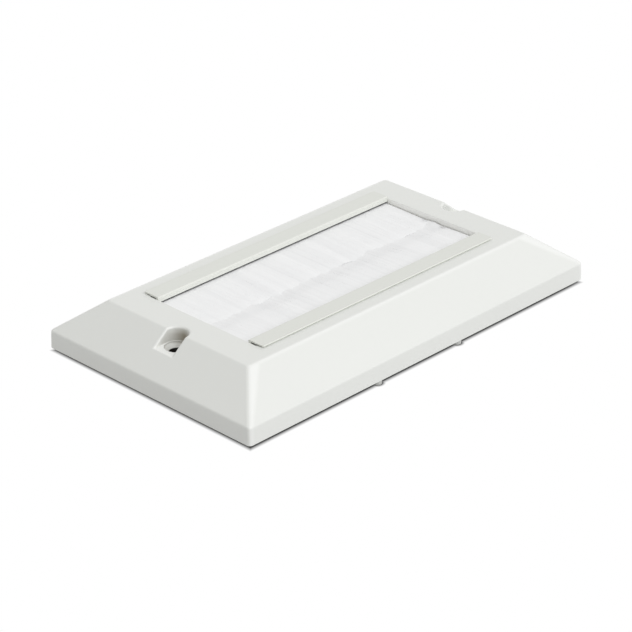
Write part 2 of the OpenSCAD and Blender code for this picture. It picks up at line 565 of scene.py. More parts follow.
@dataclass(frozen=True)
class PocketTones:
    """Where the two screw pockets get painted light and painted shade. The shank's painted shade is in both;
    the rest is painted only in the pocket near -Y.

    A value whose name ends in soft is the width over which a tone comes in, and one that ends in share
    is the most of that tone.
    """

    form: PlateForm
    # The plan of a pocket with its lip, and the skin of its floor.
    lip: float = 0.7
    plan_soft: float = 0.2
    floor_skin: float = 0.06
    floor_soft: float = 0.04
    # Painted light on the flat floor, on the lip from a share of the pocket's radius on, and on the +X wall,
    # which lies in shade.
    floor_share: float = 0.6
    lip_from: float = -0.85
    lip_soft: float = 0.3
    lip_top: float = 0.1
    lip_top_soft: float = 0.15
    lip_share: float = 0.55
    lit_wall_x: float = 0.8
    lit_wall_soft: float = 1.2
    lit_wall_depth: float = 0.3
    # Warm painted shade is thickest at the x below and from a share of the depth on. The cone's -X side gets
    # less of it.
    pocket_shade_x: float = -0.5
    pocket_shade_thins: float = 0.85
    pocket_shade_full: float = 0.55
    pocket_shade_share: float = 0.95
    cone_depth: float = 0.4
    cone_soft: float = 0.3
    cone_unshaded_x: float = 0.3
    cone_unshaded_share: float = 0.75
    # Painted shade in the shank and on the darker side of the countersink, with depths under the pocket's
    # floor.
    shank_depth: float = 1.2
    shank_soft: float = 0.1
    shank_past: float = 0.15
    rim_soft: float = 0.05
    sink_past: float = 0.1
    sink_depth: float = 0.03
    sink_soft: float = 0.06
    sink_dark_x: float = -0.9
    sink_dark_soft: float = 1.4
    sink_share: float = 0.8

    @staticmethod
    def near(y: Term) -> Term:
        """1 in the half of the plate towards -Y, and 0 in the other."""
        return y.falling(0.0, 1.0)

    def in_plan(self, x: Term, along: Term) -> Term:
        """1 in the plan of a pocket and its lip, and 0 elsewhere.

        Args:
            x: Place across the plate.
            along: Distance from the middle along the plate.

        Returns:
            The share, which is 1 or 0 but for a soft rim.
        """
        form = self.form
        beside = abs(x).falling(form.pocket_r + self.lip, self.plan_soft)
        open_y = form.half_l - form.bevel_y + form.pocket_depth / form.rise_y + self.plan_soft
        within = along.rising(form.screw_y - form.pocket_r - self.lip, self.plan_soft)
        return beside * within * along.falling(open_y, self.plan_soft)

    def on_floor(self, x: Term, along: Term, z: Term) -> Term:
        """1 on a pocket's flat floor outside the screw hole, and 0 elsewhere."""
        form = self.form
        low = (form.front - z).rising(form.pocket_depth - self.floor_skin, self.floor_soft)
        return low * form.off_hole(x, along).rising(form.sink_r - self.floor_soft / 2, self.floor_soft)

    def painted_light(self, x: Term, y: Term, z: Term) -> Term:
        """Share of painted light in the near pocket: on its flat floor, its -X lip and its +X wall.

        Args:
            x: Place across the plate.
            y: Place along the plate.
            z: Height.

        Returns:
            The share, from 0 to 1.
        """
        along = abs(y)
        depth = self.form.depth(along, z)
        lip = x.falling(self.form.pocket_r * self.lip_from, self.lip_soft)
        lip = lip * depth.falling(self.lip, self.lip_soft) * depth.rising(self.lip_top, self.lip_top_soft)
        floor = self.on_floor(x, along, z)
        wall = x.rising(self.lit_wall_x, self.lit_wall_soft)
        wall = wall * depth.rising(self.lit_wall_depth, self.lit_wall_depth) * (1.0 - floor)
        # Painted light: on the floor, the lip and the shaded +X wall.
        share = (floor * self.floor_share).at_least(lip * self.lip_share).at_least(wall)
        return self.in_plan(x, along) * share * self.near(y)

    def pocket_shade(self, x: Term, y: Term, z: Term) -> Term:
        """Share of warm painted shade in the near pocket: it grows down the round wall, most in its middle.

        Args:
            x: Place across the plate.
            y: Place along the plate.
            z: Height.

        Returns:
            The share, from 0 to 1.
        """
        form = self.form
        along = abs(y)
        inside = self.in_plan(x, along) * (1.0 - self.on_floor(x, along, z)) * self.near(y)
        middle = 1.0 - (abs(x - self.pocket_shade_x) / form.pocket_r).clamped() * self.pocket_shade_thins
        wall = form.depth(along, z).rising(0.0, form.pocket_depth * self.pocket_shade_full)
        cone = (form.front - z).rising(form.pocket_depth + self.cone_depth, self.cone_soft)
        unshaded = x.falling(self.cone_unshaded_x, 1.0) * cone * self.cone_unshaded_share
        return inside * wall * middle * (1.0 - unshaded) * self.pocket_shade_share

    def dark(self, x: Term, y: Term, z: Term) -> Term:
        """Share of painted shade: all of it in a screw hole's shank, less on the near countersink's +X side.

        Args:
            x: Place across the plate.
            y: Place along the plate.
            z: Height.

        Returns:
            The share, from 0 to 1.
        """
        form = self.form
        distance = form.off_hole(x, abs(y))
        sunk = form.front - z - form.pocket_depth
        shank = distance.falling(form.hole_r + self.shank_past, self.rim_soft)
        shank = shank * sunk.rising(self.shank_depth, self.shank_soft)
        sink = distance.falling(form.sink_r + self.sink_past, self.rim_soft)
        sink = sink * sunk.rising(self.sink_depth, self.sink_soft) * self.near(y)
        return shank.at_least(sink * x.rising(self.sink_dark_x, self.sink_dark_soft) * self.sink_share)


@dataclass(frozen=True)
class MouldedPlastic:
    """Satin white moulding: faint flow clouds, painted highlights on its edges, painted light on the
    window's end walls, and painted light and shade in a screw pocket.
    """

    form: PlateForm
    light: Colour = (0.815, 0.822, 0.792)
    shadow: Colour = (0.800, 0.807, 0.777)
    # Painted highlight on the front's long edges and beside the hips.
    edge: Colour = (0.885, 0.89, 0.865)
    # Painted light on the window's end walls and in the near screw pocket.
    painted_light_colour: Colour = (0.955, 0.955, 0.93)
    # Warm painted shade down the near screw pocket's round wall.
    pocket_shade: Colour = (0.33, 0.29, 0.22)
    # Painted shade in the screw holes' shanks and on the near countersink.
    hole: Colour = (0.012, 0.010, 0.008)
    roughness: float = 0.4
    cloud_per_m: float = 45.0
    cloud_detail: float = 3.0
    cloud_matt: float = 0.06
    grain_per_m: float = 5200.0
    grain_mm: float = 0.006
    grain_matt: float = 0.1

    def build(self) -> bpy.types.Material:
        """Tone follows slow clouds, painted highlights on the edges and painted light and shade in the
        pockets, and roughness and relief follow the grain.

        Returns:
            The material.
        """
        material, graph = Graph.of_material("moulded_plastic")
        clouds = graph.noise(self.cloud_per_m, self.cloud_detail)
        grain = graph.noise(self.grain_per_m)
        x, y, z = graph.coordinates()
        across, along = abs(x), abs(y)
        highlight, pocket = PaintedHighlight(self.form), PocketTones(self.form)
        tone = graph.blend(self.shadow, self.light, clouds)
        # Painted highlight on the long front edges and beside the hips.
        tone = graph.blend(tone, self.edge, highlight.edges(across, along))
        # Painted light on the window's end walls and in the near pocket.
        bright = highlight.window_wall(across, along, z).at_least(pocket.painted_light(x, y, z))
        tone = graph.blend(tone, self.painted_light_colour, bright)
        # Warm painted shade down the near pocket's wall.
        tone = graph.blend(tone, self.pocket_shade, pocket.pocket_shade(x, y, z))
        graph.surface({
            # Painted shade in the screw holes.
            "Base Color": graph.blend(tone, self.hole, pocket.dark(x, y, z)),
            "Roughness": grain * self.grain_matt + clouds.about(
                self.roughness - self.grain_matt / 2, self.cloud_matt),
            "Normal": graph.relief(grain, self.grain_mm),
        })
        return material


@dataclass(frozen=True)
class ExtrudedPlastic:
    """Satin extrusion: faint die lines along its length and a slightly yellower tone."""

    light: Colour = (0.775, 0.785, 0.737)
    shadow: Colour = (0.745, 0.755, 0.708)
    roughness: float = 0.36
    roughness_span: float = 0.12
    line_per_m: float = 2600.0
    line_stretch: float = 0.02
    line_share: float = 0.6
    line_mm: float = 0.006
    patch_per_m: float = 120.0

    def build(self) -> bpy.types.Material:
        """Tone and relief follow lines drawn out along Y, and roughness follows soft patches.

        Returns:
            The material.
        """
        material, graph = Graph.of_material("extruded_plastic")
        lines = graph.noise(self.line_per_m, scale=(1.0, self.line_stretch, 1.0))
        patches = graph.noise(self.patch_per_m)
        share = lines * self.line_share + patches * (1.0 - self.line_share)
        graph.surface({
            "Base Color": graph.blend(self.shadow, self.light, share),
            "Roughness": patches.about(self.roughness, self.roughness_span),
            "Normal": graph.relief(lines, self.line_mm),
        })
        return material


@dataclass(frozen=True)
class Nylon:
    """White filaments: each has its own tone, faint mottling runs along them, and shade is painted on them
    in the holder's mouth.
    """

    mouth_x: float
    light: Colour = (0.972, 0.972, 0.973)
    shadow: Colour = (0.862, 0.862, 0.867)
    # Painted shade on the filaments inside the holder's mouth, which lies in shadow under the nose.
    root: Colour = (0.45, 0.45, 0.44)
    mouth_shade_soft: float = 0.3
    roughness: float = 0.425
    roughness_span: float = 0.15
    tone_share: float = 0.7
    mottle_per_m: float = 300.0
    mottle_stretch: float = 6.0
    mottle_mm: float = 0.02

    def build(self) -> bpy.types.Material:
        """Tone is each filament's own number, eased by soft mottling, with painted shade in the holder's
        mouth.

        Returns:
            The material.
        """
        material, graph = Graph.of_material("nylon_filament")
        tone = graph.term(graph.add("Attribute", {"attribute_name": TONE}), "Fac")
        mottle = graph.noise(self.mottle_per_m, scale=(1.0, self.mottle_stretch, 1.0))
        x, _, _ = graph.coordinates()
        share = tone * self.tone_share + mottle * (1.0 - self.tone_share)
        plain = graph.blend(self.shadow, self.light, share)
        graph.surface({
            # Painted shade in the holder's mouth.
            "Base Color": graph.blend(plain, self.root, abs(x).rising(self.mouth_x, self.mouth_shade_soft)),
            "Roughness": mottle.about(self.roughness, self.roughness_span),
            "Normal": graph.relief(mottle, self.mottle_mm),
        })
        return material


@dataclass(frozen=True)
class ZincSheet:
    """Galvanised steel sheet: grey spangle with its own shine in each crystal."""

    # Dark grey: partly the sheet's own dark tone, partly painted shade for the recess in the holder's mouth.
    light: Colour = (0.20, 0.20, 0.21)
    shadow: Colour = (0.10, 0.10, 0.11)
    spangle_per_m: float = 420.0
    roughness: float = 0.425
    roughness_span: float = 0.15
    grain_per_m: float = 5000.0
    grain_stretch: float = 0.05
    grain_mm: float = 0.004

    def build(self) -> bpy.types.Material:
        """Tone and roughness follow the cells of the spangle, and relief a fine rolling grain.

        Returns:
            The material.
        """
        material, graph = Graph.of_material("zinc_sheet")
        cells = graph.add("TexVoronoi", None, {"Vector": graph.place(), "Scale": self.spangle_per_m})
        crystal = graph.term(graph.add("SeparateColor", None, {"Color": cells.outputs["Color"]}))
        grain = graph.noise(self.grain_per_m, scale=(1.0, self.grain_stretch, 1.0))
        graph.surface({
            "Base Color": graph.blend(self.shadow, self.light, crystal),
            "Metallic": 1.0,
            "Roughness": crystal.about(self.roughness, self.roughness_span),
            "Normal": graph.relief(grain, self.grain_mm),
        })
        return material


@dataclass(frozen=True)
class DrawnWire:
    """Bright steel wire with fine drawing lines along its length."""

    light: Colour = (0.62, 0.62, 0.62)
    shadow: Colour = (0.42, 0.42, 0.43)
    roughness: float = 0.35
    roughness_span: float = 0.2
    line_per_m: float = 6000.0
    line_stretch: float = 0.01
    line_mm: float = 0.004

    def build(self) -> bpy.types.Material:
        """Tone, roughness and relief follow lines drawn out along Y.

        Returns:
            The material.
        """
        material, graph = Graph.of_material("drawn_wire")
        lines = graph.noise(self.line_per_m, scale=(1.0, self.line_stretch, 1.0))
        graph.surface({
            "Base Color": graph.blend(self.shadow, self.light, lines),
            "Metallic": 1.0,
            "Roughness": lines.about(self.roughness, self.roughness_span),
            "Normal": graph.relief(lines, self.line_mm),
        })
        return material


# The faceplate


class Level(NamedTuple):
    """One rounded rectangle round the plate's axis."""

    half_w: float
    half_l: float
    z: float
    radius: float


@dataclass
class Faceplate:
    """The one moulding: front, four bevels, rim, window with its skirt, screw pockets, ribs and pegs.

    Its own heights count from the plane of its back edge, and base is that plane's height in the frame.
    """

    base: float
    half_w: float
    half_l: float
    height: float = 12.7
    rim_h: float = 4.55
    rim_draft: float = 2.0
    bevel_x: float = 10.6
    bevel_y: float = 10.2
    corner_r: float = 1.0
    edge_reach: float = 0.45
    foot_r: float = 0.08
    wall: float = 2.0
    wall_step: float = 0.1
    window_x: float = 18.5
    window_gap: float = 8.42
    window_edge_r: float = 0.25
    window_corner_r: float = 0.25
    skirt_t: float = 1.6
    skirt_drop: float = 5.2
    skirt_corner_r: float = 0.4
    screw_inset: float = 10.08
    hole_r: float = 1.8
    sink_r: float = 2.95
    sink_h: float = 1.0
    bore_h: float = 0.42
    pocket_r: float = 3.05
    pocket_depth: float = 3.7
    pocket_lip_r: float = 0.6
    lip_degrees: float = 78.0
    lip_rise: float = 0.01
    boss_wall: float = 1.75
    boss_floor: float = 2.4
    boss_reach: float = 0.2
    peg_y: float = 14.0
    peg_r: float = 1.25
    peg_bite: float = 0.2
    peg_h: float = 2.35
    peg_root: float = 1.0
    rib_t: float = 1.2
    rib_reach: float = 0.1
    # How far under the front, and under its bevels, the roots of bosses and ribs end.
    under_front: float = 1.0
    under_bevel: float = 1.2
    # How far a cutting tool goes past what it cuts: outwards, below and above the hole.
    tool_past: float = 2.0
    tool_foot: float = 1.0
    tool_head: float = 0.5
    corner_steps: int = 10
    edge_steps: int = 6
    foot_steps: int = 3
    lip_steps: int = 5
    pocket_steps: int = 24
    pocket_samples: int = 40
    boss_samples: int = 8
    round_points: int = 48
    sharp_degrees: float = 32.0

    def __post_init__(self) -> None:
        """Works out the bevels' rise over run, the inset of the rim's top and the window's place."""
        self.rim_in = self.rim_h * math.tan(math.radians(self.rim_draft))
        self.rise_x = (self.height - self.rim_h) / (self.bevel_x - self.rim_in)
        self.rise_y = (self.height - self.rim_h) / (self.bevel_y - self.rim_in)
        self.screw_y = self.half_l - self.screw_inset
        self.window = Window(self.window_x, self.screw_y - self.window_gap)

    def form(self) -> PlateForm:
        """The sizes that the moulding's finish follows."""
        return PlateForm(front=self.base + self.height, half_w=self.half_w, half_l=self.half_l,
                         bevel_x=self.bevel_x, bevel_y=self.bevel_y, rise_y=self.rise_y,
                         screw_y=self.screw_y, pocket_r=self.pocket_r, pocket_depth=self.pocket_depth,
                         hole_r=self.hole_r, sink_r=self.sink_r, window=self.window)

    def front_z(self, inset: np.ndarray, rise: float, bevel: float) -> np.ndarray:
        """Height of the front over the back edge at an inset: flat past the bevel, and falling on it."""
        return np.minimum(self.height, self.height - (bevel - inset) * rise)

    def end_z(self, y: np.ndarray) -> np.ndarray:
        """Height of the front along the middle of a short side, at places y along the plate."""
        return self.front_z(self.half_l - np.abs(y), self.rise_y, self.bevel_y)

    def inner_inset(self, z: float, rise: float) -> float:
        """Inset of the wall's inner face at a height, one wall thickness square to the bevel."""
        return self.rim_in + (z - self.rim_h + self.wall * math.hypot(1.0, rise)) / rise

    def eased(self, before: Sequence[float], corner: Sequence[float],
              after: Sequence[float]) -> np.ndarray:
        """Rounds a corner of the section by a quadratic curve that leaves each side at edge_reach from it.

        The curve is (1 - t)^2 times its start, 2 t (1 - t) times the corner and t^2 times its end.

        Args:
            before: Section point (inset x, inset y, z) that the curve comes from.
            corner: The sharp corner.
            after: Section point that the curve goes to.

        Returns:
            The points of the curve, one row each.
        """
        corner_at = np.array(corner, float)
        ends = []
        for other in (before, after):
            way = np.array(other, float) - corner_at
            ends.append(corner_at + way * self.edge_reach / np.linalg.norm(way))
        t = np.linspace(0.0, 1.0, self.edge_steps + 1)[:, None]
        return (1 - t) ** 2 * ends[0] + 2 * t * (1 - t) * corner_at + t ** 2 * ends[1]

    def front_levels(self) -> List[Level]:
        """Levels of the outside: up the window's wall, over the front, down the bevel and the rim.

        The window's edge and the foot of the rim are quarter circles: (1 - cos a, 1 - sin a) times a radius.

        Returns:
            The levels, in order.
        """
        skirt_z = self.height - self.skirt_drop
        x, y, radius = self.window.half_w, self.window.half_l, self.window_corner_r
        levels = [Level(x, y, skirt_z, radius)]
        for angle in quarter_turn(self.edge_steps):
            out = self.window_edge_r * (1 - math.cos(angle))
            down = self.window_edge_r * (1 - math.sin(angle))
            levels.append(Level(x, y + out, self.height - down, radius))
        foot, rim_top = (0.0, 0.0, 0.0), (self.rim_in, self.rim_in, self.rim_h)
        front_edge = (self.bevel_x, self.bevel_y, self.height)
        face = (self.bevel_x + 1.0, self.bevel_y + 1.0, self.height)
        curves = [self.eased(face, front_edge, rim_top), self.eased(front_edge, rim_top, foot)]
        for inset_x, inset_y, z in np.concatenate(curves):
            levels.append(Level(self.half_w - inset_x, self.half_l - inset_y, z, self.corner_r))
        for angle in quarter_turn(self.foot_steps):
            inset = self.foot_r * (1 - math.cos(angle))
            z = self.foot_r * (1 - math.sin(angle))
            levels.append(Level(self.half_w - inset, self.half_l - inset, z, self.corner_r))
        return levels

    def back_levels(self) -> List[Level]:
        """Levels of the inside: up the rim, along behind the bevel and the front, down the skirt.

        Returns:
            The levels, in order.
        """
        slope_z = self.rim_h + self.wall * self.rise_x - self.wall * math.hypot(1.0, self.rise_x)
        ceiling = self.height - self.wall
        skirt = (self.window.half_w + self.skirt_t, self.window.half_l + self.skirt_t)
        levels = [Level(self.half_w - self.wall, self.half_l - self.wall, z, self.corner_r / 2)
                  for z in (0.0, slope_z - self.wall_step)]
        levels += [Level(self.half_w - self.inner_inset(z, self.rise_x),
                         self.half_l - self.inner_inset(z, self.rise_y), z, self.corner_r / 2)
                   for z in (slope_z, ceiling)]
        levels += [Level(*skirt, z, self.skirt_corner_r) for z in (ceiling, self.height - self.skirt_drop)]
        return levels

    def ring(self, level: Level) -> np.ndarray:
        """Rounded rectangle of one level, anticlockwise seen from above.

        Each corner is a quarter circle about (half width - r, half length - r).

        Args:
            level: Its sizes.

        Returns:
            The points, one row each.
        """
        half_w, half_l, z, radius = level
        angle = np.arange(4)[:, None] * math.pi / 2 + quarter_turn(self.corner_steps)[None, :]
        sign_x = np.array([1, -1, -1, 1])[:, None]
        sign_y = np.array([1, 1, -1, -1])[:, None]
        x = sign_x * (half_w - radius) + radius * np.cos(angle)
        y = sign_y * (half_l - radius) + radius * np.sin(angle)
        return np.stack([x, y, np.full_like(x, z)], axis=-1).reshape(-1, 3)

    def shell(self) -> Skin:
        """Skin swept round the plate: the section's levels as rings, joined in a closed loop."""
        rings = np.stack([self.ring(level) for level in self.front_levels() + self.back_levels()])
        return Skin(rings.reshape(-1, 3), grid_quads(len(rings), rings.shape[1], wrap_rows=True), [])

    def slot_plan(self, radius: float, far: float, samples: int) -> np.ndarray:
        """Plan of the far screw pocket, anticlockwise: a half circle that opens along +Y.

        Args:
            radius: Half the slot's width.
            far: Distance of its open end along Y.
            samples: Points along each straight side.

        Returns:
            Points with their outward normals, one row each: x, y, nx, ny.
        """
        turn = np.linspace(math.pi, 2 * math.pi, self.pocket_steps + 1)
        arc = np.stack([np.cos(turn), np.sin(turn)], axis=-1)
        run = np.linspace(self.screw_y, far, samples + 1)[1:]
        right = np.stack([np.full(samples, radius), run], axis=-1)
        left = np.stack([np.full(samples, -radius), run[::-1]], axis=-1)
        points = np.concatenate([arc * radius + [0.0, self.screw_y], right, left])
        sideways = np.repeat([[1.0, 0.0], [-1.0, 0.0]], samples, axis=0)
        return np.concatenate([points, np.concatenate([arc, sideways])], axis=1)

    def pocket_tool(self) -> Skin:
        """Skin of the space that the far pocket takes out.

        The wall stands straight from the floor to one lip radius under the front, then turns outwards on a
        circular arc that follows the front's slope, so the pocket has a rounded lip.

        Returns:
            The skin.
        """
        plan = self.slot_plan(self.pocket_r, self.half_l + self.tool_past, self.pocket_samples)
        floor = self.height - self.pocket_depth
        top = self.end_z(plan[:, 1])
        rows = [(0.0, floor)]
        turn = np.linspace(0.0, math.radians(self.lip_degrees), self.lip_steps + 1)
        for number, angle in enumerate(turn, start=1):
            out = self.pocket_lip_r * (1 - math.cos(angle))
            z = top - self.pocket_lip_r * (1 - math.sin(angle))
            rows.append((out, np.maximum(z, floor + self.lip_rise * number)))
        rows.append((rows[-1][0], self.height + self.tool_past))
        return prism([at_height(plan[:, :2] + plan[:, 2:] * out, z) for out, z in rows])

    def hole_tool(self) -> Skin:
        """Skin of what the far screw hole takes out: a shank, a countersink and a shallow bore.

        Returns:
            The skin.
        """
        floor = self.height - self.pocket_depth
        section = [(self.hole_r, self.tool_foot), (self.hole_r, floor - self.bore_h - self.sink_h),
                   (self.sink_r, floor - self.bore_h), (self.sink_r, floor + self.tool_head)]
        return prism([at_height(circle(radius, (0.0, self.screw_y), self.round_points), z)
                      for radius, z in section])

    def boss(self) -> Skin:
        """Skin of the solid round the far pocket: it ends inside the wall, half way through it.

        Returns:
            The skin.
        """
        low = self.height - self.pocket_depth - self.boss_floor
        bevel_z = low + self.boss_reach + self.under_bevel
        far = self.half_l - self.rim_in - (bevel_z - self.rim_h) / self.rise_y
        plan = self.slot_plan(self.pocket_r + self.boss_wall, far, self.boss_samples)
        top = np.minimum(self.height - self.under_front, self.end_z(plan[:, 1]) - self.under_bevel)
        return prism([at_height(plan, low), at_height(plan, top)])

    def rib(self) -> Skin:
        """Skin of one cross rib, from half way through the skirt to half way through the bevel's wall.

        Returns:
            The skin.
        """
        low = self.height - self.skirt_drop
        bevel_z = low + self.rib_reach + self.under_bevel
        end = self.half_w - self.rim_in - (bevel_z - self.rim_h) / self.rise_x
        x = np.array([self.window.half_w + self.skirt_t / 2, self.half_w - self.bevel_x, end])
        bevel = self.front_z(self.half_w - x, self.rise_x, self.bevel_x) - self.under_bevel
        top = np.minimum(self.height - self.under_front, bevel)
        outline = np.concatenate([at_height(x[:, None], low), np.column_stack([x, top])[::-1]])
        sides = (self.peg_y + self.rib_t / 2, self.peg_y - self.rib_t / 2)
        return prism([np.insert(outline, 1, y, axis=1) for y in sides])

    def peg(self) -> Skin:
        """Skin of one round back peg, whose root is inside the rim and the bevel's wall."""
        middle = self.half_w - self.wall - self.peg_r + self.peg_bite
        plan = circle(self.peg_r, (middle, self.peg_y), self.round_points)
        return prism([at_height(plan, z) for z in (-self.peg_h, self.rim_h + self.peg_root)])

    def build(self, material: bpy.types.Material) -> bpy.types.Object:
        """Sweeps the shell, adds bosses, ribs and pegs, and takes out the pockets and holes.

        Args:
            material: The moulding's finish.

        Returns:
            The faceplate.
        """
        quarter = [self.rib(), self.peg()]
        half = quarter + [part.mirrored(1) for part in quarter]
        bosses = [self.boss(), self.boss().mirrored(1)]
        added = joined(half + [part.mirrored(0) for part in half] + bosses)
        plate = self.shell().raised(self.base).build("faceplate_shell")
        carve(plate, added.raised(self.base).build("added"), "UNION")
        for tool in (self.pocket_tool(), self.hole_tool()):
            both = joined([tool, tool.mirrored(1)])
            carve(plate, both.raised(self.base).build("removed"), "DIFFERENCE")
        shade(plate, self.sharp_degrees)
        finish_piece(plate, material, ["faceplate"])
        return plate


# The brush


@dataclass
class Holder:
    """One edge extrusion: nose and flange on the front, back web with a snap hook, and a lower jaw.

    Its depths and heights count from the front face.
    """

    side: Side
    front: float
    window: Window
    width: float = 5.0
    flange_lap: float = 2.1
    flange_t: float = 0.6
    hollow: float = 0.3
    lip_w: float = 0.55
    groove_w: float = 0.4
    groove_h: float = 0.3
    slit_h: float = 0.17
    fit: float = 0.1
    wall: float = 0.7
    nose_r: float = 0.35
    nose_drop: float = 0.8
    jaw_top: float = 4.1
    hook_top: float = 5.3
    hook_reach: float = 0.9
    hook_h: float = 0.95
    corner_r: float = 0.5
    edge_r: float = 0.06
    brow_r: float = 0.2
    notch_l: float = 0.8
    notch_in: float = 0.85
    notch_under: float = 0.2
    # How far a cutting tool goes past the flange's side and past its end, below it and above it.
    tool_beside: float = 0.1
    tool_past: float = 1.0
    tool_below: float = 0.5
    tool_above: float = 1.5
    nose_steps: int = 8
    edge_segments: int = 2
    sharp_degrees: float = 32.0
    bevel_degrees: float = 40.0

    def __post_init__(self) -> None:
        """Works out where the flange, the mouth, the back and the web stand, and the half length."""
        self.flange_x = self.window.half_w + self.flange_lap
        self.mouth_x = self.flange_x - self.width
        self.back_x = self.window.half_w - self.fit
        self.web_x = self.back_x - self.wall
        self.half_l = self.window.half_l - self.fit

    def section(self) -> np.ndarray:
        """Outline of the +X holder, as x and height over the front, clockwise seen from -Y.

        The nose and the brow are quarter circles: each point lies one radius from the circle's middle.

        Returns:
            The points, one row each.
        """
        turn = quarter_turn(self.nose_steps)
        nose = np.column_stack([self.mouth_x + self.nose_r * (1 - np.cos(turn)),
                                self.flange_t - self.nose_r * (1 - np.sin(turn))])
        brow = np.column_stack([self.flange_x - self.brow_r * (1 - np.sin(turn)),
                                self.flange_t - self.brow_r * (1 - np.cos(turn))])
        hook_low = -self.hook_top - self.hook_h
        jaw_low = -self.jaw_top - self.wall
        lip_x = self.flange_x - self.lip_w
        foot_x = self.flange_x - self.groove_w
        rest = [(self.flange_x, self.groove_h), (foot_x, self.groove_h), (foot_x, 0.0), (lip_x, 0.0),
                (lip_x, self.hollow), (self.back_x, self.hollow), (self.back_x, -self.hook_top),
                (self.back_x + self.hook_reach, -self.hook_top), (self.back_x, hook_low),
                (self.web_x, hook_low), (self.web_x, jaw_low), (self.mouth_x, jaw_low),
                (self.mouth_x, -self.jaw_top), (self.web_x, -self.jaw_top),
                (self.web_x, -self.nose_drop), (self.mouth_x, -self.nose_drop)]
        return np.concatenate([nose, brow, np.array(rest)])

    def cuts(self) -> List[Skin]:
        """Skins of what both ends lose: a notch under the flange's top, and the flange's outer corner.

        The corner's cut is what a quarter circle in plan leaves of a square.

        Returns:
            One skin for both notches and one for both corners, on this holder's side.
        """
        end_y = self.half_l + self.tool_past
        notch = block((self.mouth_x + self.notch_in, self.half_l - self.notch_l,
                       self.front - self.nose_drop - self.notch_under),
                      (self.flange_x + self.tool_beside, end_y, self.front + self.slit_h))
        turn = quarter_turn(self.nose_steps)[::-1]
        x0, y0 = self.flange_x - self.corner_r, self.half_l - self.corner_r
        arc = np.column_stack([x0 + self.corner_r * np.cos(turn), y0 + self.corner_r * np.sin(turn)])
        out_x = self.flange_x + self.tool_past
        plan = np.concatenate([[[out_x, y0], [out_x, end_y], [x0, end_y]], arc])
        corner = prism([at_height(plan, self.front - self.tool_below),
                        at_height(plan, self.front + self.tool_above)])
        both = [joined([part, part.mirrored(1)]) for part in (notch, corner)]
        return both if self.side is Side.RIGHT else [part.mirrored(0) for part in both]

    def build(self, material: bpy.types.Material) -> bpy.types.Object:
        """Carries the outline along Y, takes the cuts out of both ends and breaks the edges.

        Args:
            material: The extrusion's finish.

        Returns:
            The holder.
        """
        outline = self.section() + [0.0, self.front]
        skin = prism([np.insert(outline, 1, y, axis=1) for y in (self.half_l, -self.half_l)])
        if self.side is Side.LEFT:
            skin = skin.mirrored(0)
        made = skin.build(f"holder_{self.side.word}_profile")
        for cut in self.cuts():
            carve(made, cut.build("cut"), "DIFFERENCE")
        edges = made.modifiers.new("edges", "BEVEL")
        edges.width = self.edge_r * MM
        edges.segments = self.edge_segments
        edges.limit_method = "ANGLE"
        edges.angle_limit = math.radians(self.bevel_degrees)
        shade(made, self.sharp_degrees)
        finish_piece(made, material, [f"holder_{self.side.word}"])
        return made


class Waves:
    """Random sines along the plate, added up. They share one height in all, and long ones are higher."""

    LOWEST = 0.4

    def __init__(self, rng: np.random.Generator, count: int, shortest: float, longest: float) -> None:
        """Draws each sine's wavelength, height and start.

        Args:
            rng: Where the numbers come from.
            count: Number of sines.
            shortest: The shortest wavelength.
            longest: The longest wavelength.
        """
        self.length = np.exp(rng.uniform(math.log(shortest), math.log(longest), count))
        height = rng.uniform(self.LOWEST, 1.0, count) * np.sqrt(self.length / longest)
        self.height = height / math.sqrt(float((height ** 2).sum()))
        self.start = rng.uniform(0.0, 2 * math.pi, count)

    def at(self, y: np.ndarray) -> np.ndarray:
        """Sum of the sines at each place along the plate, about -1 to 1."""
        return (self.height * np.sin(2 * math.pi * y[..., None] / self.length + self.start)).sum(axis=-1)


@dataclass(frozen=True)
class BankShape:
    """Section of one bank: depths under the front at distances from the window's middle.

    Distances count from the middle towards the bank's own holder, so the tips have the smallest one.
    The seed draws its filaments, and its tip shadow is how much a painted shadow of the other bank's tips
    lowers its tone beside them.
    """

    top: Tuple[float, ...]
    low: Tuple[float, ...]
    seed: int
    tip_shadow: float
    across: Tuple[float, ...] = (-1.6, 0.0, 1.5, 4.0, 6.0, 10.0, 15.6, 17.0)


UPPER_BANK = BankShape(
    top=(1.97, 1.78, 1.66, 1.58, 1.52, 1.43, 1.34, 1.33),
    low=(2.20, 2.20, 2.22, 2.40, 2.80, 3.20, 3.40, 3.40), seed=11, tip_shadow=0.0)
LOWER_BANK = BankShape(
    top=(1.99, 1.89, 1.79, 1.62, 1.45, 1.33, 1.30, 1.30),
    low=(2.35, 2.40, 2.50, 2.80, 3.00, 3.20, 3.40, 3.40), seed=23, tip_shadow=0.45)


class Layer(NamedTuple):
    """Loose filaments between two heights in the bank, where 0 lies on the mat and 1 under it.

    They reach past the mat's tips by no more than past.
    """

    count: int
    top: float
    low: float
    past: float


